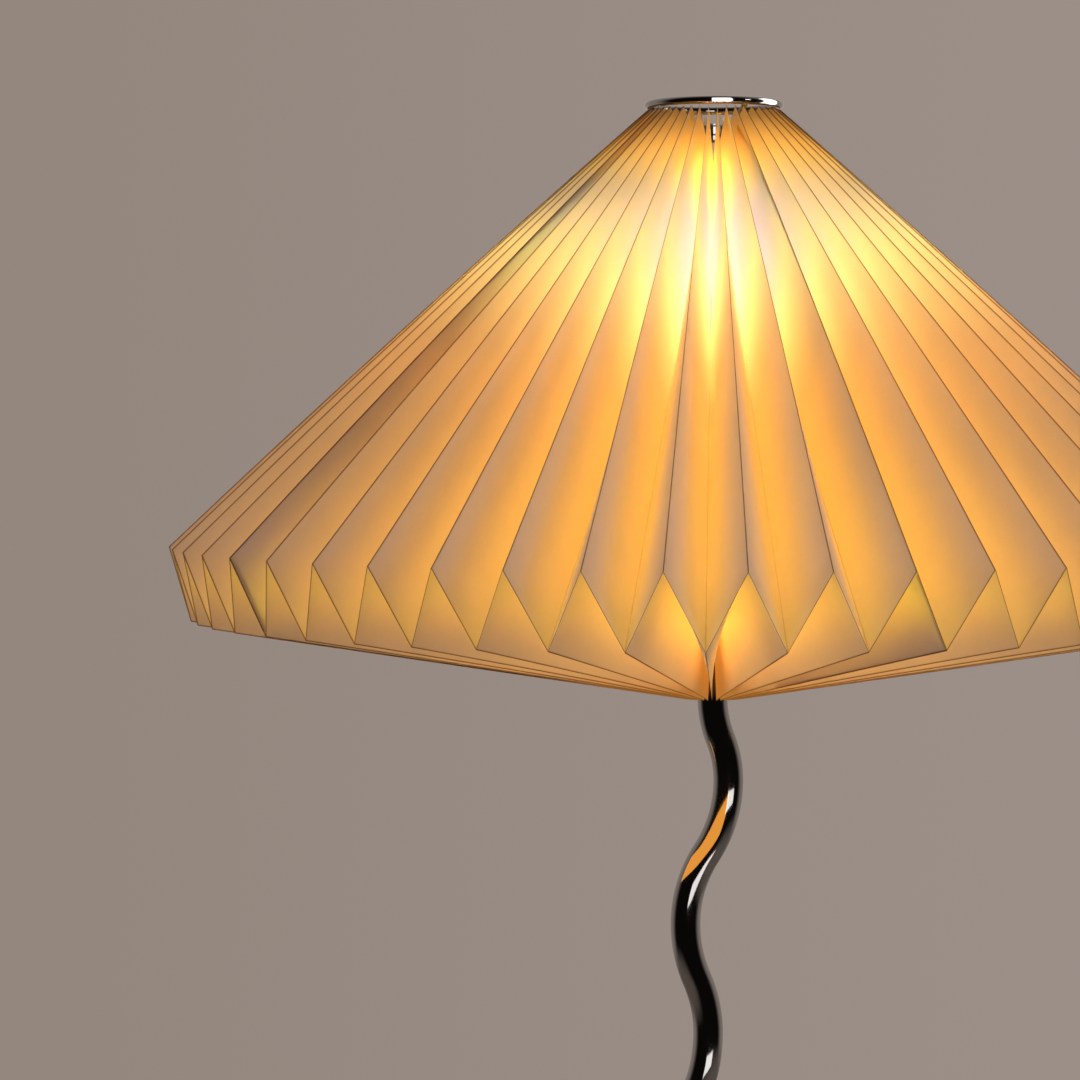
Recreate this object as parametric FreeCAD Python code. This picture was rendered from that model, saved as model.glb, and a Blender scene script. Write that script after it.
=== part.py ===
import FreeCAD, Part
import math
import os

# Pleated paper table lamp, in millimetres. Z is up, the base stands on Z = 0,
# the stem's axis at its two ends is X = 0, Y = 0, and -Y is the front.

V = FreeCAD.Vector
UP = V(0, 0, 1)

# --- driving dimensions -------------------------------------------------
rim_height = 386.0          # height of the upper zigzag of the shade
rim_radius = 211.6          # radius of the upper zigzag points
pleat_count = 50            # ridges round the shade
sheet_count = 5             # paper sheets, ten pleats each
crowding = math.radians(6.7)        # pleats stand a little closer on one side
crowding_phase = math.radians(-58.8)
pleat_start = math.radians(8.9)
pleat_width = 28.9          # width of one flat panel between two folds
top_ridge_radius = 25.9
top_ridge_rise = 169.0      # top of the ridges above the upper zigzag
crease_lag = 13.0           # the lower zigzag lies this much further down the fold
ridge_bow = 1.2             # outward bow of the upper panels at mid length
foot_ridge_radius = 12.1    # lower ridges end here, round the stem
foot_ridge_drop = 60.3      # and this far below the upper zigzag
foot_valley_radius = 6.75
paper = 0.22                # thickness of the paper
glue_line = 0.06            # between two sheets' edges
reversal_swell = 1.1        # a fold's corner on the zigzag, from its middle out, in thicknesses
flap_gap = 0.15             # glue behind a lapped panel
upper_steps = 3             # flats along a panel above the zigzag
lower_steps = 2             # and below it

tube_radius = 6.0           # stem, 12 x 1 mm tube
tube_wall = 1.0
ring_wire = 1.5             # radius of the top ring's wire
ring_radius = 25.6
ring_seat = 0.4             # from the middle of the ridges' tops up to the ring's wire
hub_rise = 156.0            # underside of the spider's hub above the upper zigzag
arm_wire = 1.1              # radius of the spider's three arms
arm_sink = 0.8              # how far an arm's end reaches into the hub's rim

base_radius = 100.0
base_edge = 15.0            # height at which the cover's edge turns over
base_crown = 22.0           # top of the cover at its centre
cover_wall = 1.5
pad_height = 2.0
weight_gap = 0.3

nipple_radius = 5.0         # M10 x 1 threaded nipples
nipple_bore = 3.6
nipple_gap = 0.15           # round a nipple, where it passes a plain hole
holder_drop = 21.0          # bottom of the lampholder below the upper zigzag
cap_radius = 13.2           # bulb's screw cap
cap_gap = 0.08              # radial play of the cap in the screw shell
bulb_radius = 30.0
bulb_length = 105.0         # from the tip contact to the top of the glass
stud_radius = 3.0           # M6 stud on the harp
stud_gap = 0.08             # radial play of the shade's hub on the stud

os.makedirs("parts", exist_ok=True)


# --- helpers --------------------------------------------------------------
def save(shape, name):
    shape.exportStep("parts/" + name + ".step")


def turned(points):
    """A solid of revolution about Z from (radius, height) points."""
    outline = Part.makePolygon([V(r, 0, z) for r, z in points + points[:1]])
    return Part.Face(outline).revolve(V(0, 0, 0), UP, 360)


def turned_edges(edges):
    """A solid of revolution about Z from a closed run of edges."""
    outline = Part.Wire(Part.__sortEdges__(edges))
    return Part.Face(outline).revolve(V(0, 0, 0), UP, 360)


def line(r1, z1, r2, z2):
    return Part.LineSegment(V(r1, 0, z1), V(r2, 0, z2)).toShape()


def arc(r1, z1, r2, z2, r3, z3):
    return Part.Arc(V(r1, 0, z1), V(r2, 0, z2), V(r3, 0, z3)).toShape()


def disc(radius, z1, z2):
    return Part.makeCylinder(radius, z2 - z1, V(0, 0, z1), UP)


def tube(outer, inner, z1, z2):
    return disc(outer, z1, z2).cut(disc(inner, z1 - 1, z2 + 1))


def rod(start, end, radius):
    return Part.makeCylinder(radius, (end - start).Length, start, end - start)


def turned_about(shape, degrees):
    copy = shape.copy()
    copy.rotate(V(0, 0, 0), UP, degrees)
    return copy


def bent(start, runs, outer, inner=0.0):
    """Round bar or tube bent in the X-Z plane, starting upwards.

    A run is (length, None) for a straight, or (bend radius, degrees) with
    degrees above 0 for a bend towards the right.
    """
    place = start
    turn = 0.0
    pieces = []
    for size, degrees in runs:
        heading = V(math.sin(turn), 0, math.cos(turn))
        section = Part.Face(Part.Wire(Part.Circle(place, heading, outer).toShape()))
        if inner:
            section = section.cut(Part.Face(Part.Wire(Part.Circle(place, heading, inner).toShape())))
        if degrees is None:
            pieces.append(section.extrude(heading * size))
            place = place + heading * size
            continue
        sign = 1 if degrees > 0 else -1
        centre = place + V(math.cos(turn), 0, -math.sin(turn)) * size * sign
        pieces.append(section.revolve(centre, V(0, sign, 0), abs(degrees)))
        turn += math.radians(degrees)
        place = centre - V(math.cos(turn), 0, -math.sin(turn)) * size * sign
    return pieces[0].multiFuse(pieces[1:]).removeSplitter()


def sway(across, along):
    """Two equal bends that carry a bar sideways by 'across' over a height of 'along'."""
    radius = (across ** 2 + along ** 2) / (4 * abs(across))
    degrees = math.degrees(2 * math.atan(abs(across) / along))
    if across < 0:
        degrees = -degrees
    return [(radius, degrees), (radius, -degrees)]


# --- folded paper -----------------------------------------------------------
half_step = math.pi / pleat_count


def fold_angle(fold):
    """Angle of fold number 'fold'; even folds are ridges, odd ones valleys."""
    even = half_step * fold
    return pleat_start + even + crowding * math.sin(even + crowding_phase)


def across_panel(fold):
    """Half the angle between the two neighbours of a fold."""
    return (fold_angle(fold + 1) - fold_angle(fold - 1)) / 2


upper_run = math.hypot(rim_radius - top_ridge_radius, top_ridge_rise)
down = ((rim_radius - top_ridge_radius) / upper_run, -top_ridge_rise / upper_run)
outward = (-down[1], down[0])


def rim_points(fold):
    """Radius and height of a fold's corner on the zigzag it belongs to."""
    if fold % 2 == 0:
        return rim_radius, 0.0
    reach = rim_radius * math.sin(across_panel(fold))
    depth = math.sqrt(pleat_width ** 2 - reach ** 2)
    r = rim_radius + crease_lag * down[0] - depth * outward[0]
    z = crease_lag * down[1] - depth * outward[1]
    return r, z


def fold_rows(fold):
    """Places down one fold from its top to its foot, with the outward direction at each."""
    rim = rim_points(fold)
    top = (top_ridge_radius, top_ridge_rise)
    foot = (foot_ridge_radius, -foot_ridge_drop)
    low = rim_points(1)
    run = math.hypot(low[0] - foot[0], low[1] - foot[1])
    under = ((low[1] - foot[1]) / run, -(low[0] - foot[0]) / run)
    if fold % 2 == 1:
        top = (top[0] - pleat_width * outward[0], top[1] - pleat_width * outward[1])
    else:
        rise = math.sqrt(pleat_width ** 2 - (foot[0] - foot_valley_radius) ** 2)
        foot = (foot_valley_radius, foot[1] + rise)
    rows = []
    for step in range(upper_steps):
        part = step / upper_steps
        bow = ridge_bow * 4 * part * (1 - part)
        r = top[0] + (rim[0] - top[0]) * part + bow * outward[0]
        z = top[1] + (rim[1] - top[1]) * part + bow * outward[1]
        rows.append((r, z, outward))
    rows.append((rim[0], rim[1], (0.96, -0.28)))
    for step in range(1, lower_steps + 1):
        part = step / lower_steps
        rows.append((rim[0] + (foot[0] - rim[0]) * part, rim[1] + (foot[1] - rim[1]) * part, under))
    return rows


def fold_lines(fold, cut_side):
    """Outer-left, outer-right, inner-left and inner-right points down a fold."""
    angle = fold_angle(fold)
    radial = V(math.sin(angle), -math.cos(angle), 0)
    side = V(math.cos(angle), math.sin(angle), 0)
    lines = [[], [], [], []]
    for row, (r, z, normal) in enumerate(fold_rows(fold)):
        reversal = row == upper_steps
        blunt_outside = (fold % 2 == 0) == (row < upper_steps)
        outer = paper if blunt_outside else 0.0
        inner = 0.0 if blunt_outside else paper
        offsets = [0.0] * 4 if reversal else [-outer, outer, -inner, inner]
        half = paper * reversal_swell if reversal else paper / 2
        if cut_side < 0:
            offsets = [min(value, -glue_line / 2) for value in offsets]
        if cut_side > 0:
            offsets = [max(value, glue_line / 2) for value in offsets]
        for index, offset in enumerate(offsets):
            shift = half if index < 2 else -half
            place = radial * (r + shift * normal[0]) + UP * (z + shift * normal[1] + rim_height)
            lines[index].append(place + side * offset)
    return lines


def patch(a, b, c, d):
    """Flat triangles over the corners a-b-c-d; a corner may fall on its neighbour."""
    corners = []
    for point in (a, b, c, d):
        if not corners or (point - corners[-1]).Length > 1e-6:
            corners.append(point)
    if (corners[0] - corners[-1]).Length < 1e-6:
        corners.pop()
    faces = []
    for second in range(1, len(corners) - 1):
        triangle = [corners[0], corners[second], corners[second + 1], corners[0]]
        faces.append(Part.Face(Part.makePolygon(triangle)))
    return faces


def closed_solid(faces):
    shell = Part.makeShell(faces)
    shell.sewShape()
    solid = Part.Solid(shell)
    if solid.Volume < 0:
        solid.reverse()
    return solid


def strips(left, right):
    faces = []
    for row in range(len(left) - 1):
        faces += patch(left[row], left[row + 1], right[row + 1], right[row])
    return faces


def between(left, right, part):
    return [a + (b - a) * part for a, b in zip(left, right)]


def layered(outer, inner):
    """A thin solid between two sets of lines that run side by side down the paper."""
    faces = []
    for lines in (outer, inner):
        for left, right in zip(lines[:-1], lines[1:]):
            faces += strips(left, right)
    for row in (0, -1):
        for number in range(len(outer) - 1):
            faces += patch(outer[number][row], outer[number + 1][row],
                           inner[number + 1][row], inner[number][row])
    faces += strips(outer[0], inner[0])
    faces += strips(outer[-1], inner[-1])
    return closed_solid(faces)


def paper_sheet(first, last):
    """One sheet of reverse-folded pleats from ridge 'first' to ridge 'last'."""
    outer = []
    inner = []
    for fold in range(first, last + 1):
        cut_side = 1 if fold == first else (-1 if fold == last else 0)
        outer_left, outer_right, inner_left, inner_right = fold_lines(fold, cut_side)
        if fold > first:
            outer.append(between(outer[-1], outer_left, 0.5))
            inner.append(between(inner[-1], inner_left, 0.5))
        outer += [outer_left, outer_right]
        inner += [inner_left, inner_right]
    return layered(outer, inner)


def seam_flap(fold, lower):
    """The glued lap behind the first panel of a sheet, above or below the rim."""
    ridge = fold_lines(fold, 1)[3]
    valley = fold_lines(fold + 1, 0)[2]
    if lower:
        rows = range(upper_steps, upper_steps + lower_steps)
    else:
        rows = range(1, upper_steps + 1)
    columns = []
    for part in (0.1, 0.5, 0.9):
        columns.append([between(ridge, valley, part)[row] for row in rows])
    for column in columns:
        end = 0 if lower else -1
        other = 1 if lower else -2
        column[end] = column[end] + (column[other] - column[end]) * 0.05
    near = []
    far = []
    for column in columns:
        near.append([])
        far.append([])
        for row in range(len(column)):
            before = max(row - 1, 0)
            after = min(row + 1, len(column) - 1)
            along = columns[1][after] - columns[1][before]
            normal = along.cross(columns[2][row] - columns[0][row])
            normal.normalize()
            facing = 1 if (normal.z > 0) == lower else -1
            near[-1].append(column[row] + normal * facing * flap_gap)
            far[-1].append(column[row] + normal * facing * (flap_gap + paper))
    return layered(near, far)


pleats_per_sheet = pleat_count // sheet_count
flaps = []
for number in range(sheet_count):
    first = 2 * (2 + pleats_per_sheet * number)
    save(paper_sheet(first, first + 2 * pleats_per_sheet), "shade_sheet_" + str(number + 1))
    flaps += [seam_flap(first, False), seam_flap(first, True)]
save(Part.makeCompound(flaps), "seam_flaps")


# --- top ring and its spider --------------------------------------------------
ring_height = rim_height + top_ridge_rise + ring_seat + ring_wire
top_ring = Part.makeTorus(ring_radius, ring_wire, V(0, 0, ring_height), UP)
save(top_ring, "top_ring")

hub_bottom = rim_height + hub_rise
hub_top = hub_bottom + 2.0
hub_radius = 8.0
spider_hub = tube(hub_radius, stud_radius + stud_gap, hub_bottom, hub_top)
save(spider_hub, "spider_hub")

arms = []
for number in range(3):
    arm = rod(V(0, -hub_radius + arm_sink, hub_bottom + 0.9), V(0, -ring_radius, ring_height), arm_wire)
    arm = arm.cut(spider_hub).cut(top_ring)
    solids = sorted(arm.Solids, key=lambda piece: piece.Volume)
    arms.append(turned_about(solids[-1], 120 * number + 30))
save(Part.makeCompound(arms), "spider_arms")

washer_top = hub_top + 0.8
save(tube(6.4, stud_radius + stud_gap, hub_top, washer_top), "top_washer")
nut_top = washer_top + 4.0
nut_bore = stud_radius + 0.02
nut = turned([(nut_bore, washer_top), (6.2, washer_top), (6.8, washer_top + 0.6),
              (6.8, nut_top - 0.6), (6.2, nut_top), (nut_bore, nut_top)])
grips = [rod(V(7.1, 0, hub_top - 1), V(7.1, 0, nut_top + 1), 0.6)]
for number in range(1, 10):
    grips.append(turned_about(grips[0], 36 * number))
save(nut.cut(grips[0].multiFuse(grips[1:])), "top_nut")


# --- harp ---------------------------------------------------------------------
harp_wire = 1.5
saddle_bottom = rim_height - holder_drop - 1.5
harp_foot = V(26.0, 0, rim_height - 12.0)
harp_reach = 42.0
shoulder = 26.0             # bend at the top of each side
lean = 38.8                 # slope of the harp's top, in degrees above level
bend_angle = 90 - lean
side_height = 60.0
straight_slope = 26.0
half_runs = sway(-(harp_reach - harp_foot.x), 60.0)
half_runs += [(side_height - 12.0, None), (shoulder, bend_angle), (straight_slope, None)]
reach_left = harp_reach
reach_left -= shoulder * (1 - math.cos(math.radians(bend_angle)))
reach_left -= straight_slope * math.cos(math.radians(lean))
crown_bend = 9.0
reach_left -= crown_bend * math.sin(math.radians(lean))
climb = harp_foot.z + 60.0 + side_height - 12.0
climb += shoulder * math.sin(math.radians(bend_angle))
climb += straight_slope * math.sin(math.radians(lean))
climb += crown_bend * (1 - math.cos(math.radians(lean)))
harp_top = climb
runs = half_runs + [(crown_bend, lean), (2 * reach_left, None), (crown_bend, lean)]
runs += [(straight_slope, None), (shoulder, bend_angle), (side_height - 12.0, None)]
runs += sway(harp_reach - harp_foot.x, 60.0)
harp = bent(V(-harp_foot.x, 0, harp_foot.z), runs, harp_wire)
save(harp, "harp")

stud_top = nut_top + 0.8
swivel = disc(4.5, harp_top - 3.5, harp_top + 4.0)
swivel = swivel.fuse(disc(4.0, harp_top + 4.0, hub_bottom))
swivel = swivel.fuse(disc(stud_radius, hub_bottom, stud_top))
swivel = swivel.removeSplitter().cut(harp)
save(swivel, "harp_stud")

strip = 1.5
saddle_half = 26.0
flat = Part.makeBox(2 * saddle_half - 4, 14, strip, V(-saddle_half + 2, -7, saddle_bottom))
flat = flat.cut(disc(nipple_radius + nipple_gap, saddle_bottom - 1, saddle_bottom + 3))
lugs = []
for sign in (-1, 1):
    x = sign * saddle_half
    lug = disc(3.2, saddle_bottom, harp_foot.z + 5.0)
    lug.translate(V(x, 0, 0))
    lugs.append(lug.cut(harp))
saddle = flat.multiFuse(lugs).removeSplitter()
save(saddle, "harp_saddle")


# --- stem -----------------------------------------------------------------------
stem_foot = base_crown
stem_top = saddle_bottom
lowest_bend = 41.0          # straight below this, in the base
turns = [(6.4, 86.0), (-10.6, 146.0), (-1.4, 193.4), (-10.4, 236.4), (6.3, 293.3), (0.0, 326.0)]
stem_runs = [(lowest_bend - stem_foot, None)]
at = 0.0
height = lowest_bend
for reach, level in turns:
    stem_runs += sway(reach - at, level - height)
    at = reach
    height = level
stem_runs.append((stem_top - height, None))
stem = bent(V(0, 0, stem_foot), stem_runs, tube_radius, tube_radius - tube_wall)
save(stem, "stem_tube")

upper_nipple = tube(nipple_radius, nipple_bore, stem_top - 14.0, stem_top + 9.0)
save(upper_nipple, "upper_nipple")
lower_nipple = tube(nipple_radius, nipple_bore, 3.2, stem_foot + 14.0)
save(lower_nipple, "lower_nipple")


# --- base -----------------------------------------------------------------------
crown_edge = base_edge + 3.0
inner_radius = base_radius - cover_wall
corner = 5.0
bore = nipple_radius + nipple_gap
diagonal = math.sqrt(0.5)


def rounded(radius, middle_r, middle_z):
    """The quarter turn of the cover's edge, from level to upright."""
    return arc(middle_r, middle_z + radius, middle_r + radius * diagonal, middle_z + radius * diagonal,
               middle_r + radius, middle_z)


cover_edges = [
    line(bore, base_crown, base_radius - corner, crown_edge),
    rounded(corner, base_radius - corner, crown_edge - corner),
    line(base_radius, crown_edge - corner, base_radius, 0.8),
    line(base_radius, 0.8, inner_radius, 0.8),
    line(inner_radius, 0.8, inner_radius, crown_edge - corner),
    rounded(corner - cover_wall, base_radius - corner, crown_edge - corner),
    line(base_radius - corner, crown_edge - cover_wall, bore, base_crown - cover_wall),
    line(bore, base_crown - cover_wall, bore, base_crown),
]
cover = turned_edges(cover_edges)
grommet_height = 8.2
grommet_hole = 4.2
grommet_bore = 2.9
hole = rod(V(0, base_radius - 8, grommet_height), V(0, base_radius + 5, grommet_height), grommet_hole)
cover = cover.cut(hole)
save(cover, "base_cover")

weight_radius = inner_radius - weight_gap
weight_points = [(bore, base_crown - cover_wall), (base_radius - corner, crown_edge - cover_wall),
                 (weight_radius - 0.9, crown_edge - cover_wall - 1.9), (weight_radius, crown_edge - 5.5),
                 (weight_radius, pad_height), (bore, pad_height)]
recess_radius = 18.0
recess_top = 10.0
weight = turned(weight_points)
weight = weight.cut(disc(recess_radius, 0, recess_top))
channel = Part.makeBox(9, base_radius, grommet_height + 5.0 - pad_height, V(-4.5, 0, pad_height))
pocket = rod(V(0, base_radius - 9, grommet_height), V(0, base_radius + 5, grommet_height), 7.0)
weight = weight.cut(channel).cut(pocket)
save(weight, "base_weight")

pad_radius = weight_radius - 1.0
pad = disc(pad_radius, 0, pad_height)
pad = pad.makeChamfer(0.4, [edge for edge in pad.Edges if abs(edge.BoundBox.ZMax) < 0.01])
save(pad, "foot_pad")

save(tube(13.0, nipple_radius + nipple_gap, recess_top - 1.5, recess_top), "base_washer")
hexagon = [V(8.1 * math.cos(math.radians(60 * k)), 8.1 * math.sin(math.radians(60 * k)), recess_top - 6.0)
           for k in range(6)]
hex_nut = Part.Face(Part.makePolygon(hexagon + hexagon[:1])).extrude(V(0, 0, 4.5))
bevel = turned([(0, recess_top - 6.0), (7.4, recess_top - 6.0), (8.2, recess_top - 5.4),
                (8.2, recess_top - 2.1), (7.4, recess_top - 1.5), (0, recess_top - 1.5)])
hex_nut = hex_nut.common(bevel).cut(disc(nipple_radius + 0.02, 0, 20))
save(hex_nut, "base_nut")

collar = turned([(tube_radius + 0.1, base_crown), (11.0, base_crown), (11.0, base_crown + 2.0),
                 (9.4, base_crown + 3.4), (8.0, base_crown + 6.2), (7.3, base_crown + 7.0),
                 (tube_radius + 0.1, base_crown + 7.0)])
save(collar, "stem_collar")

groove = 0.1
flange = grommet_height - pad_height - 0.3
grommet_profile = [(grommet_bore, -4.5), (flange - 0.4, -4.5), (flange, -3.6), (flange, -cover_wall - groove),
                   (grommet_hole, -cover_wall - groove), (grommet_hole, groove), (flange, groove),
                   (flange - 0.4, 1.6), (flange - 1.4, 2.4), (grommet_bore, 2.4)]
grommet = turned(grommet_profile)
grommet.rotate(V(0, 0, 0), V(1, 0, 0), -90)
grommet.translate(V(0, base_radius, grommet_height))
body = rod(V(0, base_radius - 20, grommet_height), V(0, base_radius + 20, grommet_height), 20)
save(grommet.cut(cover).common(body), "cord_grommet")


# --- lampholder -------------------------------------------------------------------
low = rim_height - holder_drop
holder_wall = 1.4
cap_outer = [(nipple_radius + 0.02, low), (9.0, low), (10.5, low + 1.0), (11.0, low + 4.0),
             (18.5, low + 10.0), (19.6, low + 13.0), (19.6, low + 19.0),
             (19.6 - holder_wall, low + 19.0), (19.6 - holder_wall, low + 13.6),
             (17.4, low + 11.4), (10.2, low + 5.8), (nipple_radius + 0.02, low + 5.8)]
save(turned(cap_outer), "lampholder_cap")

shell_bottom = low + 19.0
shell_top = low + 49.0
shell_profile = [(18.0, shell_bottom), (19.6, shell_bottom), (19.6, shell_bottom + 12.0),
                 (18.9, shell_bottom + 13.0), (18.9, shell_top - 1.0), (18.4, shell_top),
                 (17.2, shell_top), (17.2, shell_bottom + 12.0), (18.0, shell_bottom + 11.0)]
save(turned(shell_profile), "lampholder_shell")

insert_bottom = low + 14.0
insert_top = low + 24.0
insert = disc(17.6, insert_bottom + 2.0, insert_top)
insert = insert.fuse(disc(14.0, insert_bottom - 1.0, insert_bottom + 2.0)).removeSplitter()
insert = insert.cut(disc(2.2, insert_bottom - 2, insert_top + 1))
for sign in (-1, 1):
    slot = Part.makeBox(6.0, 9.0, 5.0, V(sign * 10.0 - 3.0, -4.5, insert_bottom - 1.5))
    insert = insert.cut(slot)
    insert = insert.cut(rod(V(sign * 10.0, 0, insert_bottom), V(sign * 10.0, 0, insert_top + 1), 1.65))
save(insert, "lampholder_insert")

thread_bottom = insert_top
screw_shell = tube(cap_radius + cap_gap + 0.5, cap_radius + cap_gap, thread_bottom, thread_bottom + 21.0)
floor_ring = tube(cap_radius + cap_gap + 0.2, 7.5, thread_bottom, thread_bottom + 0.6)
screw_shell = screw_shell.fuse(floor_ring).removeSplitter()
screw_shell = screw_shell.cut(rod(V(10.0, 0, low), V(10.0, 0, low + 30), 1.65))
screw_shell = screw_shell.cut(rod(V(-10.0, 0, low), V(-10.0, 0, low + 30), 1.65))
save(screw_shell, "screw_shell")

tongue = Part.makeBox(12.0, 5.0, 0.5, V(-6.0, -2.5, insert_top))
tongue = tongue.fuse(turned([(0, insert_top + 0.5), (2.4, insert_top + 0.5), (1.6, insert_top + 1.4),
                             (0, insert_top + 1.4)])).removeSplitter()
save(tongue, "centre_contact")

screws = []
for sign in (-1, 1):
    head = disc(2.6, insert_bottom + 1.6, insert_bottom + 3.5)
    shank = disc(1.6, insert_bottom + 3.5, insert_top + 0.6)
    slot = Part.makeBox(6.0, 0.7, 0.7, V(-3.0, -0.35, insert_bottom + 1.6))
    screw = head.fuse(shank).cut(slot)
    screw.translate(V(sign * 10.0, 0, 0))
    screws.append(screw)
save(Part.makeCompound(screws), "terminal_screws")


# --- bulb --------------------------------------------------------------------------
tip = insert_top + 1.45
contact = turned([(0, tip), (3.2, tip), (4.6, tip + 0.9), (4.6, tip + 1.6), (0, tip + 1.6)])
save(contact, "bulb_tip_contact")
collar_top = tip + 5.0
insulator = turned([(0, tip + 1.6), (5.0, tip + 1.6), (11.4, tip + 4.2), (11.4, collar_top), (0, collar_top)])
save(insulator, "bulb_cap_insulator")
cap_top = tip + 27.0
bulb_cap = turned([(11.4, tip + 4.0), (11.9, tip + 4.0), (cap_radius, tip + 5.4),
                   (cap_radius, cap_top - 3.0), (cap_radius + 0.4, cap_top), (cap_radius, cap_top),
                   (12.8, cap_top - 3.0), (12.8, tip + 5.8), (12.0, collar_top + 0.01), (11.4, collar_top + 0.01)])
save(bulb_cap.cut(insulator), "bulb_cap")

glass_wall = 0.9
ball = tip + bulb_length - bulb_radius
neck_start = cap_top - 8.0
neck_radius = 12.6
neck_curve = 30.0
lift = math.sqrt((bulb_radius + neck_curve) ** 2 - (neck_radius + neck_curve) ** 2)


def glass_run(inset):
    """Neck, waist and ball of the bulb's glass, moved in by 'inset'."""
    big = bulb_radius - inset
    bend = neck_curve + inset
    middle_r = neck_radius + neck_curve
    middle_z = ball - lift
    waist = math.atan2(lift, middle_r)
    half = math.radians(180) - waist / 2
    join_r = middle_r - bend * math.cos(waist)
    join_z = middle_z + bend * math.sin(waist)
    side = math.radians(20)
    return [
        line(middle_r - bend, neck_start, middle_r - bend, middle_z),
        arc(middle_r - bend, middle_z, middle_r + bend * math.cos(half), middle_z + bend * math.sin(half),
            join_r, join_z),
        arc(join_r, join_z, big * math.cos(side), ball + big * math.sin(side), 0.0, ball + big),
    ]


glass_edges = glass_run(0.0) + glass_run(glass_wall)
glass_edges.append(line(0.0, ball + bulb_radius, 0.0, ball + bulb_radius - glass_wall))
glass_edges.append(line(neck_radius, neck_start, neck_radius - glass_wall, neck_start))
glass = turned_edges(glass_edges)
save(glass, "bulb_glass")

flare = neck_radius - glass_wall - 0.05
flare_rise = 10.0
pinch_rise = 20.0
stalk_rise = 24.0
stalk_radius = 2.0
stalk_tip = 15.0
mount = turned([(0, neck_start), (flare, neck_start), (flare, neck_start + 1.2), (4.0, neck_start + flare_rise),
                (2.6, neck_start + pinch_rise), (stalk_radius, neck_start + stalk_rise),
                (stalk_radius, ball + stalk_tip - 1.0), (0, ball + stalk_tip)])
save(mount, "bulb_mount")

filaments = []
wires = []
filament_drop = 20.0
filament_rise = 12.0
low_end = ball - filament_drop
high_end = ball + filament_rise
for number in range(4):
    turn = 45 + 90 * number
    filaments.append(turned_about(rod(V(8.0, 0, low_end), V(6.4, 0, high_end), 0.9), turn))
    low_wire = rod(V(1.9, 0, low_end - 2.0), V(8.05, 0, low_end - 0.35), 0.35)
    high_wire = rod(V(1.9, 0, high_end + 1.0), V(6.4, 0, high_end + 0.36), 0.35)
    wires.append(turned_about(low_wire.cut(mount), turn))
    wires.append(turned_about(high_wire.cut(mount), turn))
save(Part.makeCompound(filaments), "led_filaments")
save(Part.makeCompound(wires), "filament_wires")
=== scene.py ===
import math

import bpy
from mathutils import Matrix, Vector


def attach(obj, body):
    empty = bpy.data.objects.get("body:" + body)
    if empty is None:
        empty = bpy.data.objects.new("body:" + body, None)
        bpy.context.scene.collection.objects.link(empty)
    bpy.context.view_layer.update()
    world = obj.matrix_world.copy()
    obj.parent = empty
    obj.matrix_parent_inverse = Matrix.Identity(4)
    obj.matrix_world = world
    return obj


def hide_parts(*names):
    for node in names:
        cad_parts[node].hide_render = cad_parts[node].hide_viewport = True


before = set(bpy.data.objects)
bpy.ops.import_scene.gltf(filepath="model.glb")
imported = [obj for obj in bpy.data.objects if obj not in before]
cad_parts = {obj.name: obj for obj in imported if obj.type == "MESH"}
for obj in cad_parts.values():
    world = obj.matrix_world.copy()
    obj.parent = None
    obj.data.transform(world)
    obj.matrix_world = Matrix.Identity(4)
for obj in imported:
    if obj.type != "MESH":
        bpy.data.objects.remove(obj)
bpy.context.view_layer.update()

# Pleated paper table lamp, lit. Lengths are in millimetres and MM turns them
# into metres. The lamp stands on Z = 0, and -Y is its front.
MM = 0.001

# --- the shade's sizes --------------------------------------------------------
# the rim is the upper zigzag, where every ridge ends; other places of a fold are given from it
RIM_HEIGHT = 386.0
RIM_RADIUS = 211.6
PLEATS = 50
SHEETS = 5
PLEATS_PER_SHEET = 10
FIRST_RIDGE = 2
# the pleats stand closer together on one side, by a sine wave of this reach
CROWDING = math.radians(6.7)
CROWDING_PHASE = math.radians(-58.8)
PLEAT_START = math.radians(8.9)
# one panel, from ridge to valley, and about its length from its top to the zigzag
PLEAT_WIDTH = 28.9
PANEL_LENGTH = 250.0
# radius and height from the rim: the ridges' top ends, and the feet of the ridges below the zigzag
TOP_RIDGE = (25.9, 169.0)
FOOT_RIDGE = (12.1, -60.3)
FOOT_VALLEY_RADIUS = 6.75
# how much farther down the valleys turn back than the ridges do
CREASE_LAG = 13.0
RIDGE_BOW = 1.2
# a lap lies this gap behind its panel and runs over these parts of it. Beside each fold it leaves free
# 1.3 times the gap, set against the width of a pleat there.
LAP_GAP = 0.35
LAP_CLEAR = 1.3
LAP_ABOVE = (0.03, 0.995)
LAP_BELOW = (1.005, 1.75)
# half the width of a score line, and the share of it that is fully dark
SCORE = 0.65
SCORE_CORE = 0.4
GRID_PER_PANEL = 6
GRID_DOWN = 50

# --- the metal's sizes ---------------------------------------------------------
RING_HEIGHT = 556.9
RING_RADIUS = 25.6
RING_WIRE = 1.5
BASE_CROWN = 22.0
STEM_RADIUS = 6.0
STEM_TOP = RIM_HEIGHT - 22.5
LOWEST_BEND = 41.0
# how far the stem stands to the right at each height where it is upright again
STEM_BENDS = [(6.4, 86.0), (-10.6, 146.0), (-1.4, 193.4), (-10.4, 236.4), (6.3, 293.3), (0.0, 326.0)]
# the middle of the bulb's globe, and the middle of its filaments
BULB_HEIGHT = 465.5
GLOW_HEIGHT = BULB_HEIGHT - 4.0

# --- light, with powers in watts -------------------------------------------------
KEY_POWER = 22.0
FILL_POWER = 15.0
OVERHEAD_POWER = 8.0
BULB_POWER = 4.5
THROWN_POWER = 0.07
STUDIO = 1.0
WHITE = "#FFFFFF"

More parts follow.
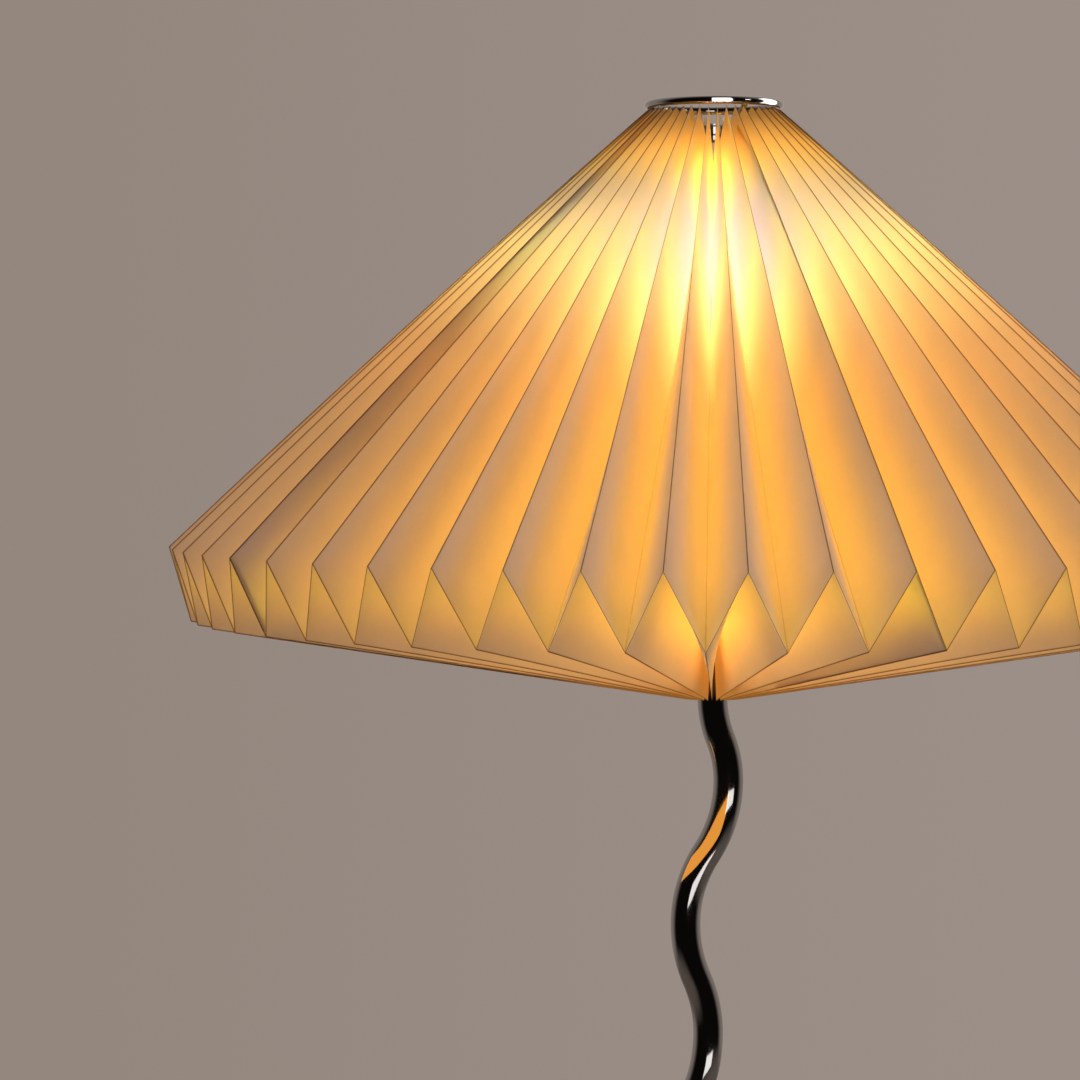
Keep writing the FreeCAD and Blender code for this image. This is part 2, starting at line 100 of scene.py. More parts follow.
# --- light in the paper, much of it painted ----------------------------------------
# The share of the paper's look that is light from behind; the rest is what its own face throws back.
PAPER_CLEARNESS = 0.62
LAP_CLEARNESS = 0.97
# Painted light: how much red, green and blue light the paper lets through, by millimetres from the bulb. It
# is held back near the bulb, as a camera holds its brightest parts back, and painted a deeper amber farther
# out, as a camera shows dimmer light.
PAINTED_THROUGH = [(60, (0.36, 0.325, 0.300)), (70, (0.36, 0.335, 0.330)), (80, (0.46, 0.400, 0.270)),
           (90, (0.60, 0.530, 0.210)), (107, (0.60, 0.425, 0.130)), (120, (0.60, 0.380, 0.100)),
           (132, (0.70, 0.435, 0.105)), (145, (0.72, 0.465, 0.115)), (165, (0.79, 0.540, 0.135)),
           (190, (0.90, 0.640, 0.175)), (215, (0.96, 0.700, 0.230))]
# Painted shade: the crowded folds under the ring, where light passes several layers, are painted a deep
# orange.
CROWD_PAINTED_SHADE = (0.92, 0.71, 0.17)
# Painted light and shade: away from the bulb the paper is painted paler and greyer along its ridges, and a
# brighter amber down in its valleys.
RIDGE_PAINTED_SHADE = (0.60, 0.61, 1.10)
VALLEY_PAINTED_GLOW = (1.06, 1.10, 0.90)
# Parts of the way down a fold, as the UV map counts them, over which each of these comes in.
CROWDED_PART = (0.06, 0.20)
ROLLED_PART = (0.20, 0.80)
VALLEY_FLOOR = 0.85
# painted light: the kites below the zigzag are painted dimmer and brighter over this part of a fold, by these
# factors
KITE_PART, KITE_PAINTED_LIGHT = (1.1, 1.5), (0.85, 1.15)
# a painted amber glow on the gathered feet, over this part of a fold and at this strength
FOOT_PART, FOOT_PAINTED_GLOW = (1.55, 1.95), 0.55
# What a score line lets through of each colour, and how faint a valley's line is beside a ridge's.
SCORED = (0.50, 0.38, 0.28)
FAINT_FOLD = 0.25
# How much the pulp's cloudy patches change the light, by more and by less, and what noise values span it.
CLOUDY = 0.025
NOISE_SPAN = (0.3, 0.7)
# Widths of the pulp's cloudy patches and of its grain.
PATCH = 8.0
FIBRE = 0.7


# --- materials ----------------------------------------------------------------
def colour(hex_code):
    """An sRGB hex colour as linear red, green and blue, with full cover."""
    parts = [int(hex_code[i:i + 2], 16) / 255 for i in (1, 3, 5)]
    linear = [p / 12.92 if p <= 0.04045 else ((p + 0.055) / 1.055) ** 2.4 for p in parts]
    return (*linear, 1.0)


def add(material, kind, inputs=None, **settings):
    """Adds a node with its settings. An input takes a fixed value or another node's output."""
    node = material.node_tree.nodes.new(kind)
    for name, value in settings.items():
        setattr(node, name, value)
    for socket, value in (inputs or {}).items():
        if isinstance(value, bpy.types.NodeSocket):
            material.node_tree.links.new(value, node.inputs[socket])
        else:
            node.inputs[socket].default_value = value
    return node


def new_material(name):
    material = bpy.data.materials.new(name)
    material.use_nodes = True
    material.node_tree.nodes.clear()
    return material


def grained(name, low, high, grain, gloss, pits=0.0, metallic=0.0):
    """A finish whose colour and gloss wander over grains so many millimetres wide, with pits that deep."""
    material = new_material(name)
    place = add(material, "ShaderNodeTexCoord").outputs["Object"]
    noise = add(material, "ShaderNodeTexNoise",
                {"Vector": place, "Scale": 1 / (grain * MM), "Detail": 4.0}).outputs["Fac"]
    tint = add(material, "ShaderNodeMix", {"Factor": noise, "A": colour(low), "B": colour(high)},
               data_type="RGBA")
    rough = add(material, "ShaderNodeMapRange",
                {"Value": noise, "From Min": NOISE_SPAN[0], "From Max": NOISE_SPAN[1], "To Min": gloss[0],
                 "To Max": gloss[1]})
    shader = add(material, "ShaderNodeBsdfPrincipled",
                 {"Base Color": tint.outputs["Result"], "Roughness": rough.outputs["Result"],
                  "Metallic": metallic})
    if pits:
        # three pits to a grain
        dents = add(material, "ShaderNodeTexNoise",
                    {"Vector": place, "Scale": 3 / (grain * MM), "Detail": 2.0})
        lift = add(material, "ShaderNodeBump", {"Height": dents.outputs["Fac"], "Distance": pits * MM})
        material.node_tree.links.new(lift.outputs["Normal"], shader.inputs["Normal"])
    add(material, "ShaderNodeOutputMaterial", {"Surface": shader.outputs[0]})
    return material


def pleated_paper(name, passes, clearness):
    """Uncoated paper, scored and folded: matt, darker along its folds, with the bulb's light and shade
    painted into what it lets through and a painted glow at its feet.
    """
    material = new_material(name)
    place = add(material, "ShaderNodeTexCoord").outputs["Object"]
    sheet = add(material, "ShaderNodeUVMap", uv_map="UVMap")
    split = add(material, "ShaderNodeSeparateXYZ", {0: sheet.outputs["UV"]})
    part = split.outputs["Y"]

    # the UV map counts panels across the sheet, and runs 0 to 1 above the zigzag and 1 to 2 below it
    pleat = add(material, "ShaderNodeMath", {0: split.outputs["X"], 1: 1.0}, operation="PINGPONG").outputs[0]
    below = add(material, "ShaderNodeMath", {0: part, 1: 1.0}, operation="GREATER_THAN").outputs[0]

    # score lines: the ridges are keen and the valleys faint, and below the zigzag they change places
    reach = SCORE / PLEAT_WIDTH
    ridge = add(material, "ShaderNodeMapRange", {"Value": pleat, "From Min": reach * SCORE_CORE,
                                                 "From Max": reach, "To Min": 1.0, "To Max": 0.0})
    valley = add(material, "ShaderNodeMapRange", {"Value": pleat, "From Min": 1 - reach * SCORE_CORE,
                                                  "From Max": 1 - reach, "To Min": 1.0, "To Max": 0.0})
    keen = add(material, "ShaderNodeMix", {"Factor": below, "A": ridge.outputs["Result"],
                                           "B": valley.outputs["Result"]})
    faint = add(material, "ShaderNodeMix", {"Factor": below, "A": valley.outputs["Result"],
                                            "B": ridge.outputs["Result"]})
    weak = add(material, "ShaderNodeMath", {0: faint.outputs["Result"], 1: FAINT_FOLD}, operation="MULTIPLY")
    from_crease = add(material, "ShaderNodeMath", {0: part, 1: 1.0}, operation="SUBTRACT")
    apart = add(material, "ShaderNodeMath", {0: from_crease.outputs[0]}, operation="ABSOLUTE")
    crease = add(material, "ShaderNodeMapRange",
                 {"Value": apart.outputs[0], "From Min": SCORE * SCORE_CORE / PANEL_LENGTH,
                  "From Max": SCORE / PANEL_LENGTH, "To Min": 1.0, "To Max": 0.0})
    folds = add(material, "ShaderNodeMath", {0: keen.outputs["Result"], 1: weak.outputs[0]},
                operation="MAXIMUM")
    fold = add(material, "ShaderNodeMath", {0: folds.outputs[0], 1: crease.outputs["Result"]},
               operation="MAXIMUM").outputs[0]

    # pulp is a little cloudy, in patches about 8 mm wide; its grain is drawn 0.7 mm wide so that it shows
    cloud = add(material, "ShaderNodeTexNoise", {"Vector": place, "Scale": 1 / (PATCH * MM), "Detail": 5.0,
                                                 "Roughness": 0.6})
    fibre = add(material, "ShaderNodeTexNoise",
                {"Vector": place, "Scale": 1 / (FIBRE * MM), "Detail": 2.0}).outputs["Fac"]

    # painted light: near the bulb the light through the paper is painted cream, and farther out amber, by the
    # distance table above
    to_bulb = add(material, "ShaderNodeVectorMath", {0: place, 1: (0, 0, BULB_HEIGHT * MM)},
                  operation="DISTANCE")
    nearest, farthest = PAINTED_THROUGH[0][0] * MM, PAINTED_THROUGH[-1][0] * MM
    far = add(material, "ShaderNodeMapRange", {"Value": to_bulb.outputs["Value"], "From Min": nearest,
                                               "From Max": farthest})
    tone = add(material, "ShaderNodeValToRGB", {"Fac": far.outputs["Result"]})
    stops = tone.color_ramp.elements
    for index, (distance, shade) in enumerate(PAINTED_THROUGH):
        position = (distance * MM - nearest) / (farthest - nearest)
        stop = stops[0] if index == 0 else stops[-1] if distance * MM == farthest else stops.new(position)
        stop.color = (*[channel * share for channel, share in zip(shade, passes)], 1.0)
    # painted shade: the crowded tops of the folds under the ring are painted deep orange
    crowd = add(material, "ShaderNodeMapRange",
                {"Value": part, "From Min": CROWDED_PART[0], "From Max": CROWDED_PART[1], "To Min": 1.0,
                 "To Max": 0.0}, interpolation_type="SMOOTHSTEP")
    warm = add(material, "ShaderNodeMix", {"Factor": crowd.outputs["Result"], "A": tone.outputs["Color"],
                                           "B": (*CROWD_PAINTED_SHADE, 1.0)}, data_type="RGBA")

    # painted light and shade: from ridge to valley the painted tone rolls over smoothly; ridges above the
    # zigzag are valleys below it
    fold_back = add(material, "ShaderNodeMath", {0: 1.0, 1: pleat}, operation="SUBTRACT")
    depth = add(material, "ShaderNodeMix", {"Factor": below, "A": pleat, "B": fold_back.outputs[0]})
    rolled = add(material, "ShaderNodeMapRange", {"Value": depth.outputs["Result"], "From Max": VALLEY_FLOOR},
                 interpolation_type="SMOOTHSTEP")
    edge = add(material, "ShaderNodeMix", {"Factor": rolled.outputs["Result"], "A": (*RIDGE_PAINTED_SHADE, 1.0),
                                           "B": (*VALLEY_PAINTED_GLOW, 1.0)}, data_type="RGBA")
    away = add(material, "ShaderNodeMapRange",
               {"Value": part, "From Min": ROLLED_PART[0], "From Max": ROLLED_PART[1]},
               interpolation_type="SMOOTHSTEP")
    shaded = add(material, "ShaderNodeMix", {"Factor": away.outputs["Result"], "A": warm.outputs["Result"],
                                             "B": edge.outputs["Result"]}, data_type="RGBA",
                 blend_type="MULTIPLY")

    # painted light: below the zigzag the kites are painted dimmer at the rim, and brighter in under the shade
    under = add(material, "ShaderNodeMapRange",
                {"Value": part, "From Min": KITE_PART[0], "From Max": KITE_PART[1], "To Min": KITE_PAINTED_LIGHT[0],
                 "To Max": KITE_PAINTED_LIGHT[1]})
    kite = add(material, "ShaderNodeMix", {"Factor": below, "A": 1.0, "B": under.outputs["Result"]})
    thick = add(material, "ShaderNodeMapRange",
                {"Value": cloud.outputs["Fac"], "From Min": NOISE_SPAN[0], "From Max": NOISE_SPAN[1],
                 "To Min": 1 - CLOUDY, "To Max": 1 + CLOUDY})
    pass_on = add(material, "ShaderNodeMath", {0: thick.outputs["Result"], 1: kite.outputs["Result"]},
                  operation="MULTIPLY")
    lit = add(material, "ShaderNodeVectorMath", {0: shaded.outputs["Result"], "Scale": pass_on.outputs[0]},
              operation="SCALE")
    through = add(material, "ShaderNodeMix", {"Factor": fold, "A": lit.outputs[0],
                                              "B": (*SCORED, 1.0)}, data_type="RGBA",
                  blend_type="MULTIPLY")

    # painted glow: the gathered feet of the pleats, where light passes from layer to layer, are given an
    # amber emission
    foot = add(material, "ShaderNodeMapRange",
               {"Value": part, "From Min": FOOT_PART[0], "From Max": FOOT_PART[1], "To Min": 0.0,
                "To Max": FOOT_PAINTED_GLOW}, interpolation_type="SMOOTHSTEP")

    white = add(material, "ShaderNodeMix", {"Factor": fibre, "A": colour("#E4DBD2"), "B": colour("#F0E9E1")},
                data_type="RGBA")
    seen = add(material, "ShaderNodeMix", {"Factor": fold, "A": white.outputs["Result"],
                                           "B": colour("#6C5E55")}, data_type="RGBA")
    tooth = add(material, "ShaderNodeBump", {"Height": fibre, "Distance": 0.02 * MM})
    face = add(material, "ShaderNodeBsdfPrincipled",
               {"Base Color": seen.outputs["Result"], "Normal": tooth.outputs["Normal"], "Roughness": 0.85,
                "Specular IOR Level": 0.25, "Emission Color": colour("#FFB04A"),
                "Emission Strength": foot.outputs["Result"]})
    glow = add(material, "ShaderNodeBsdfTranslucent", {"Color": through.outputs["Result"],
                                                       "Normal": tooth.outputs["Normal"]})
    both = add(material, "ShaderNodeMixShader", {0: clearness, 1: face.outputs[0], 2: glow.outputs[0]})
    add(material, "ShaderNodeOutputMaterial", {"Surface": both.outputs[0]})
    return material


def clear_glass(name):
    """Blown clear glass. The bulb's own light passes it as it passes air, so that the paper is lit."""
    material = new_material(name)
    blown = add(material, "ShaderNodeBsdfPrincipled", {"Base Color": colour("#FFF8EE"), "Roughness": 0.02,
                                                       "IOR": 1.5, "Transmission Weight": 1.0})
    air = add(material, "ShaderNodeBsdfTransparent")
    ray = add(material, "ShaderNodeLightPath")
    both = add(material, "ShaderNodeMixShader", {0: ray.outputs["Is Shadow Ray"], 1: blown.outputs[0],
                                                 2: air.outputs[0]})
    add(material, "ShaderNodeOutputMaterial", {"Surface": both.outputs[0]})
    return material


def lit_phosphor(name):
    """Yellow phosphor over a row of small chips 2.4 mm apart, glowing warm white."""
    # a wave texture of scale 1 repeats every 0.314 units
    material = new_material(name)
    place = add(material, "ShaderNodeTexCoord").outputs["Object"]
    chips = add(material, "ShaderNodeTexWave", {"Vector": place, "Scale": 0.314 / (2.4 * MM)},
                bands_direction="Z")
    shade = add(material, "ShaderNodeMix", {"Factor": chips.outputs["Fac"], "A": colour("#FFB45A"),
                                            "B": colour("#FFE3AE")}, data_type="RGBA")
    shader = add(material, "ShaderNodeBsdfPrincipled",
                 {"Base Color": shade.outputs["Result"], "Emission Color": shade.outputs["Result"],
                  "Roughness": 0.6, "Emission Strength": 6.0})
    add(material, "ShaderNodeOutputMaterial", {"Surface": shader.outputs[0]})
    return material


# uncoated white paper, scored and folded by hand: matt and a little cloudy, with light and shade painted into
# what it lets through
paper = pleated_paper("uncoated pleated paper with painted glow", (1.0, 1.0, 1.0), PAPER_CLEARNESS)
# the same paper soaked with paste, which makes it clearer, so that the seam's two layers look only duller;
# the same light and shade are painted into it
glued = pleated_paper("pasted lap of paper with painted glow", (1.2, 1.65, 4.0), LAP_CLEARNESS)
# polished chrome plate: mirror bright, with a haze of fine rubbing marks
chrome = grained("polished chrome plate", "#8E8A88", "#9C9896", 18.0, (0.05, 0.10), 0.0, 1.0)
# bright zinc plate over steel, with a slightly streaked gloss
zinc = grained("bright zinc plate", "#A6A9AC", "#C4C6C6", 3.0, (0.24, 0.38), 0.01, 1.0)
# stamped brass, dulling a little
brass = grained("stamped brass", "#B5904C", "#CFAE6C", 4.0, (0.22, 0.38), 0.0, 1.0)
# cast iron under black stove paint, with the fine pits of a sand mould
iron = grained("painted cast iron", "#161618", "#232326", 2.2, (0.45, 0.62), 0.25)
# black rubber with a dusty bloom
rubber = grained("black rubber", "#131314", "#1F1F20", 1.5, (0.70, 0.86), 0.05)
# black phenolic moulding with a soft mould gloss
phenolic = grained("phenolic moulding", "#0F0F10", "#18181B", 6.0, (0.18, 0.30), 0.01)
# unglazed white steatite, slightly chalky
steatite = grained("white steatite", "#DAD5C9", "#ECE8DE", 2.0, (0.50, 0.66), 0.04)
# black glass poured round the bulb's contact
vitrite = grained("black bulb-cap glass", "#08080A", "#121217", 5.0, (0.08, 0.15))
# nickel plate on the bulb's cap
nickel = grained("nickel plate", "#A6A298", "#BFBBB0", 3.0, (0.20, 0.33), 0.0, 1.0)
# blown soda-lime glass: clear, with sharp glints
glass = clear_glass("blown clear glass")
# silicone with yellow phosphor over the chips: matt, and lit
phosphor = lit_phosphor("lit phosphor")

CAD_FINISHES = [
    (zinc, ["harp", "harp_saddle", "harp_stud", "upper_nipple", "lower_nipple", "base_washer", "base_nut",
            "filament_wires"]),
    (chrome, ["top_nut", "top_washer", "spider_hub", "spider_arms", "base_cover", "stem_collar", "stem_tube",
              "top_ring"]),
    (brass, ["screw_shell", "centre_contact", "terminal_screws", "bulb_tip_contact"]),
    (iron, ["base_weight"]),
    (rubber, ["foot_pad", "cord_grommet"]),
    (phenolic, ["lampholder_cap", "lampholder_shell"]),
    (steatite, ["lampholder_insert"]),
    (vitrite, ["bulb_cap_insulator"]),
    (nickel, ["bulb_cap"]),
    (glass, ["bulb_glass", "bulb_mount"]),
    (phosphor, ["led_filaments"]),
    (paper, ["seam_flaps"] + ["shade_sheet_" + str(number + 1) for number in range(SHEETS)]),
]
for finish, names in CAD_FINISHES:
    for name in names:
        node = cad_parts[name]
        if not node.material_slots:
            node.data.materials.append(finish)
        for slot in node.material_slots:
            slot.material = finish


# --- making pieces ----------------------------------------------------------------
def deselect():
    if bpy.context.mode != "OBJECT":
        bpy.ops.object.mode_set(mode="OBJECT")
    bpy.ops.object.select_all(action="DESELECT")


def finished(name, finish, body, replaced, degrees=40.0):
    """Smooths the active piece, gives it its finish and hands it to its body."""
    if bpy.context.mode != "OBJECT":
        bpy.ops.object.mode_set(mode="OBJECT")
    bpy.ops.object.transform_apply(location=True, rotation=True, scale=True)
    bpy.ops.object.shade_smooth_by_angle(angle=math.radians(degrees))
    piece = bpy.context.active_object
    piece.name = name
    piece.data.name = name
    piece.data.materials.clear()
    piece.data.materials.append(finish)
    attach(piece, body)
    if replaced:
        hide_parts(*replaced)
    return piece


# --- the pleated paper ----------------------------------------------------------------
slope = math.hypot(RIM_RADIUS - TOP_RIDGE[0], TOP_RIDGE[1])
DOWN = ((RIM_RADIUS - TOP_RIDGE[0]) / slope, -TOP_RIDGE[1] / slope)
OUTWARD = (-DOWN[1], DOWN[0])


def fold_angle(fold):
    """Angle of a fold round the stem; even folds are ridges and odd ones valleys."""
    even = math.pi / PLEATS * fold
    return PLEAT_START + even + CROWDING * math.sin(even + CROWDING_PHASE)


def rim_point(fold):
    """A fold's corner on the zigzag: ridges end on the upper one, valleys on the lower."""
    if fold % 2 == 0:
        return RIM_RADIUS, 0.0
    reach = RIM_RADIUS * math.sin((fold_angle(fold + 1) - fold_angle(fold - 1)) / 2)
    depth = math.sqrt(PLEAT_WIDTH ** 2 - reach ** 2)
    r = RIM_RADIUS + CREASE_LAG * DOWN[0] - depth * OUTWARD[0]
    z = CREASE_LAG * DOWN[1] - depth * OUTWARD[1]
    return r, z


def fold_point(fold, part):
    """A point down a fold, with part 0 at its top, 1 at the zigzag and 2 at its foot."""
    rim = rim_point(fold)
    top = TOP_RIDGE
    foot = FOOT_RIDGE
    if fold % 2 == 1:
        top = (top[0] - PLEAT_WIDTH * OUTWARD[0], top[1] - PLEAT_WIDTH * OUTWARD[1])
    else:
        rise = math.sqrt(PLEAT_WIDTH ** 2 - (foot[0] - FOOT_VALLEY_RADIUS) ** 2)
        foot = (FOOT_VALLEY_RADIUS, foot[1] + rise)
    if part <= 1.0:
        bow = RIDGE_BOW * 4 * part * (1 - part)
        r = top[0] + (rim[0] - top[0]) * part + bow * OUTWARD[0]
        z = top[1] + (rim[1] - top[1]) * part + bow * OUTWARD[1]
    else:
        r = rim[0] + (foot[0] - rim[0]) * (part - 1)
        z = rim[1] + (foot[1] - rim[1]) * (part - 1)
    angle = fold_angle(fold)
    return Vector((r * math.sin(angle), -r * math.cos(angle), z + RIM_HEIGHT)) * MM


def panel_point(fold, share, part, behind):
    """A point of the panel after a fold, 'share' of the way to the next one, set back inside by a gap."""
    left = fold_point(fold, part)
    right = fold_point(fold + 1, part)
    place = left + (right - left) * share
    if behind:
        step = -0.01 if 0.5 < part <= 1.0 else 0.01
        ahead = (fold_point(fold, part + step) - left) / step
        place = place + (right - left).cross(ahead).normalized() * behind * MM
    return place


def pleated_sheet(name, finish, first, panels, parts, behind, replaced):
    """Folds a flat grid over the score lines after fold number 'first'."""
    deselect()
    bpy.ops.mesh.primitive_grid_add(x_subdivisions=panels * GRID_PER_PANEL, y_subdivisions=GRID_DOWN,
                                    size=1.0, calc_uvs=True)
    grid = bpy.context.active_object
    spots = []
    for vertex in grid.data.vertices:
        across = (vertex.co.x + 0.5) * panels
        part = parts[0] + (parts[1] - parts[0]) * (0.5 - vertex.co.y)
        if behind:
            # a lap stops short of the folds, where the walls of a pleat close on each other
            radius = fold_point(first, part).xy.length / MM
            clear = LAP_CLEAR * behind * PLEATS / (2 * math.pi * radius)
            across = clear + (1 - 2 * clear) * across
        panel = min(int(across + 1e-6), panels - 1)
        vertex.co = panel_point(first + panel, across - panel, part, behind)
        spots.append((across, part))
    sheet_map = grid.data.uv_layers.active
    sheet_map.name = "UVMap"
    for loop in grid.data.loops:
        sheet_map.data[loop.index].uv = spots[loop.vertex_index]
    return finished(name, finish, "shade", replaced, 30.0)


for number in range(SHEETS):
    seam = 2 * (FIRST_RIDGE + PLEATS_PER_SHEET * number)
    tag = str(number + 1)
    pleated_sheet("paper_sheet_" + tag, paper, seam, 2 * PLEATS_PER_SHEET, (0.0, 2.0), 0.0,
                  ["shade_sheet_" + tag])
    # the next sheet's edge is glued behind the first panel, so that light passes two layers there
    pleated_sheet("lap_above_" + tag, glued, seam, 1, LAP_ABOVE, LAP_GAP, ["seam_flaps"])
    pleated_sheet("lap_below_" + tag, glued, seam, 1, LAP_BELOW, LAP_GAP, [])


# --- metal --------------------------------------------------------------------------------
def sway(across, along):
    """Two equal bends that carry a bar sideways by 'across' over a height of 'along'."""
    radius = (across ** 2 + along ** 2) / (4 * abs(across))
    bend = math.copysign(2 * math.atan(abs(across) / along), across)
    return [(radius, bend), (radius, -bend)]


def bent_bar(name, start, runs, radius, sides, finish, body, replaced):
    """A round bar drawn up from its foot: straights are extruded and bends are spun."""
    deselect()
    bpy.ops.mesh.primitive_circle_add(vertices=sides, radius=radius * MM, location=Vector(start) * MM)
    bpy.ops.object.transform_apply(location=True, rotation=True, scale=True)
    bpy.ops.object.mode_set(mode="EDIT")
    bpy.ops.mesh.select_all(action="SELECT")
    place = Vector(start)
    turn = 0.0
    for size, bend in runs:
        heading = Vector((math.sin(turn), 0, math.cos(turn)))
        if bend is None:
            bpy.ops.mesh.extrude_region_move(TRANSFORM_OT_translate={"value": heading * size * MM})
            place = place + heading * size
            continue
        side = math.copysign(1.0, bend)
        centre = place + Vector((math.cos(turn), 0, -math.sin(turn))) * size * side
        steps = max(3, round(abs(math.degrees(bend)) / 2.5))
        # spin turns the opposite way to the right-hand rule
        bpy.ops.mesh.spin(steps=steps, angle=-bend, center=centre * MM, axis=(0, 1, 0))
        turn += bend
        place = centre - Vector((math.cos(turn), 0, -math.sin(turn))) * size * side
    bpy.ops.mesh.select_all(action="SELECT")
    bpy.ops.mesh.remove_doubles(threshold=0.00001)
    bpy.ops.mesh.fill_holes(sides=0)
    bpy.ops.mesh.normals_make_consistent(inside=False)
    return finished(name, finish, body, replaced)


stem_runs = [(LOWEST_BEND - BASE_CROWN, None)]
reached, height = 0.0, LOWEST_BEND
for across, level in STEM_BENDS:
    stem_runs += sway(across - reached, level - height)
    reached, height = across, level
stem_runs.append((STEM_TOP - height, None))
bent_bar("stem", (0, 0, BASE_CROWN), stem_runs, STEM_RADIUS, 64, chrome, "lamp_base", ["stem_tube"])

# the shade's top ring is drawn wire, closed by a butt weld that is polished flush
deselect()
bpy.ops.mesh.primitive_torus_add(location=(0, 0, RING_HEIGHT * MM), major_segments=160, minor_segments=32,
                                 major_radius=RING_RADIUS * MM, minor_radius=RING_WIRE * MM)
finished("ring", chrome, "shade", ["top_ring"], 60.0)


# --- floor, light and camera -------------------------------------------------------------------
FLOOR_RADIUS = 0.84
FLOOR_FADE = (0.35, 0.83)


def plain_floor():
    """A plain floor under the lamp, which fades out into the backdrop."""
    deselect()
    bpy.ops.mesh.primitive_circle_add(vertices=96, radius=FLOOR_RADIUS, fill_type="NGON",
                                      location=(0, 0, -0.0003))
    bpy.ops.object.transform_apply(location=True, rotation=True, scale=True)
    floor = bpy.context.active_object
    floor.name = "floor"
    material = new_material("plain matt floor")
    place = add(material, "ShaderNodeTexCoord").outputs["Object"]
    out = add(material, "ShaderNodeVectorMath", {0: place}, operation="LENGTH")
    fade = add(material, "ShaderNodeMapRange",
               {"Value": out.outputs["Value"], "From Min": FLOOR_FADE[0], "From Max": FLOOR_FADE[1]},
               interpolation_type="SMOOTHSTEP")
    matt = add(material, "ShaderNodeBsdfPrincipled", {"Base Color": colour("#C9C1B9"), "Roughness": 0.9,
                                                      "Specular IOR Level": 0.1})
    clear = add(material, "ShaderNodeBsdfTransparent")
    both = add(material, "ShaderNodeMixShader", {0: fade.outputs["Result"], 1: matt.outputs[0],
                                                 2: clear.outputs[0]})
    add(material, "ShaderNodeOutputMaterial", {"Surface": both.outputs[0]})
    floor.data.materials.append(material)


plain_floor()


def lamp(name, place, power, hex_code, size, aim=None, mirrored=False, lights_up=True):
    """A lamp that no picture shows. With an aim it is a flat card, and without one a small ball."""
    data = bpy.data.lights.new(name, "AREA" if aim else "POINT")
    data.energy = power
    data.color = colour(hex_code)[:3]
    if aim:
        data.shape = "RECTANGLE"
        data.size, data.size_y = size
    else:
        data.shadow_soft_size = size
    made = bpy.data.objects.new(name, data)
    bpy.context.scene.collection.objects.link(made)
    made.location = place
    if aim:
        made.rotation_euler = (Vector(aim) - Vector(place)).to_track_quat("-Z", "Y").to_euler()
    made.visible_camera = False
    made.visible_glossy = mirrored
    made.visible_diffuse = lights_up
    made.visible_transmission = lights_up


def card(name, place, power, hex_code, size, aim):
    """A card that shows in gloss only, such as the chrome's, and lights no surface."""
    lamp(name, place, power, hex_code, size, aim, mirrored=True, lights_up=False)


# three soft lamps, a cool key lamp on the right among them
MIDDLE = (0, 0, 0.4)
lamp("key", (2.4, -1.3, 1.3), KEY_POWER, "#E9EFFF", (1.0, 1.6), MIDDLE)
lamp("fill", (-2.2, -1.6, 1.2), FILL_POWER, "#FFF6EE", (1.4, 1.4), MIDDLE)
lamp("overhead", (0.2, -0.2, 2.6), OVERHEAD_POWER, WHITE, (2.0, 2.0), MIDDLE)

# the ring's glints: two cards on the right, and two close before its front
RING_MIDDLE = (0, 0, 0.557)
card("ring card", (0.55, -0.34, 0.75), 0.30, WHITE, (0.10, 0.10), RING_MIDDLE)
card("side card", (0.60, 0.10, 0.70), 0.25, WHITE, (0.12, 0.12), RING_MIDDLE)
card("ring card 1", (0.0047, -0.0327, 0.557), 0.0036, WHITE, (0.012, 0.024), (0.0032, -0.0269, 0.557))
card("ring card 2", (0.0257, -0.0152, 0.557), 0.0020, WHITE, (0.008, 0.020), (0.0198, -0.0162, 0.557))
# the stem's glints: the amber of the shade above it, and three short white ones on its right
card("amber card", (-0.022, -0.028, 0.272), 0.016, "#FFAA43", (0.09, 0.022), (-0.001, 0, 0.272))
for number, (across, height) in enumerate([(5.0, 279.0), (-9.5, 241.0), (-5.0, 171.0)]):
    card("stem card " + str(number + 1), ((across + 20) * MM, -0.046, height * MM), 0.003, WHITE,
         (0.036, 0.010), (across * MM, 0, height * MM))

# the bulb, and the light that the shade throws back down round the lampholder
lamp("bulb glow", (0, 0, GLOW_HEIGHT * MM), BULB_POWER, "#FFE8CC", 0.012, mirrored=True)
for number in range(4):
    turn = math.radians(45 + 90 * number)
    lamp("thrown light " + str(number + 1), (0.036 * math.cos(turn), 0.036 * math.sin(turn), 0.378),
         THROWN_POWER, "#FFD9A8", 0.008)

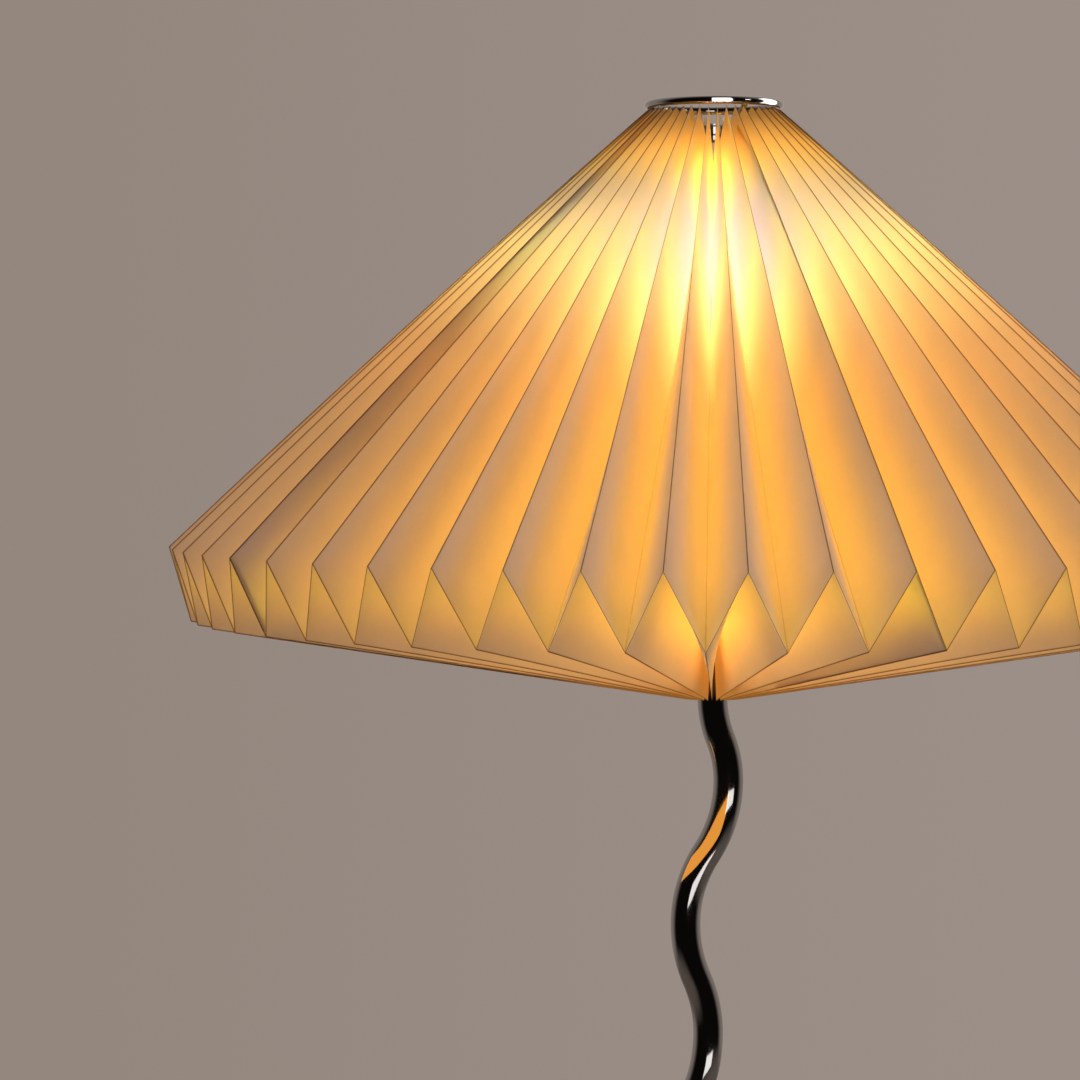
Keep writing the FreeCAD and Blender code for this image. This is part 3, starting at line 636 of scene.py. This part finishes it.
# the backdrop is a plain taupe, a little paler on the right; behind the camera is a dim room, which the
# chrome mirrors. Both go by the direction of a ray.
world = bpy.data.worlds.new("studio")
bpy.context.scene.world = world
world.use_nodes = True
world.node_tree.nodes.clear()
look = add(world, "ShaderNodeTexCoord")
axes = add(world, "ShaderNodeSeparateXYZ", {0: look.outputs["Generated"]})
behind = add(world, "ShaderNodeMapRange", {"Value": axes.outputs["Y"], "From Min": -0.25, "From Max": 0.45},
             interpolation_type="SMOOTHSTEP")
sides = add(world, "ShaderNodeMapRange", {"Value": axes.outputs["X"], "From Min": -0.18, "From Max": 0.09})
taupe = add(world, "ShaderNodeMix", {"Factor": sides.outputs["Result"], "A": colour("#94877E"),
                                     "B": colour("#9B8F88")}, data_type="RGBA")
room = add(world, "ShaderNodeMix", {"Factor": behind.outputs["Result"], "A": colour("#3A3735"),
                                    "B": taupe.outputs["Result"]}, data_type="RGBA")
mirror = add(world, "ShaderNodeMix", {"Factor": behind.outputs["Result"], "A": colour("#171413"),
                                      "B": colour("#B9AEA6")}, data_type="RGBA")
ray = add(world, "ShaderNodeLightPath")
dark = add(world, "ShaderNodeMix", {"Factor": ray.outputs["Is Glossy Ray"], "A": room.outputs["Result"],
                                    "B": mirror.outputs["Result"]}, data_type="RGBA")
seen = add(world, "ShaderNodeMix", {"Factor": ray.outputs["Is Camera Ray"], "A": dark.outputs["Result"],
                                    "B": taupe.outputs["Result"]}, data_type="RGBA")
light = add(world, "ShaderNodeBackground", {"Color": seen.outputs["Result"], "Strength": STUDIO})
add(world, "ShaderNodeOutputWorld", {"Surface": light.outputs[0]})

# the camera stands 6.2 rim radii off, a little above the rim, and looks past the lamp's left side
RANGE = 6.2 * RIM_RADIUS * MM
LOOK_DOWN = math.radians(2.5)
TILT = math.radians(90 - 2.43)
TURN = math.radians(2.957)
LENS = 111.6
camera_data = bpy.data.cameras.new("camera")
camera_data.sensor_width = 36.0
camera_data.lens = LENS
camera = bpy.data.objects.new("camera", camera_data)
bpy.context.scene.collection.objects.link(camera)
camera.location = (0, -RANGE * math.cos(LOOK_DOWN), RIM_HEIGHT * MM + RANGE * math.sin(LOOK_DOWN))
camera.rotation_euler = (TILT, 0, TURN)
bpy.context.scene.camera = camera
bpy.context.scene.view_settings.view_transform = "Standard"
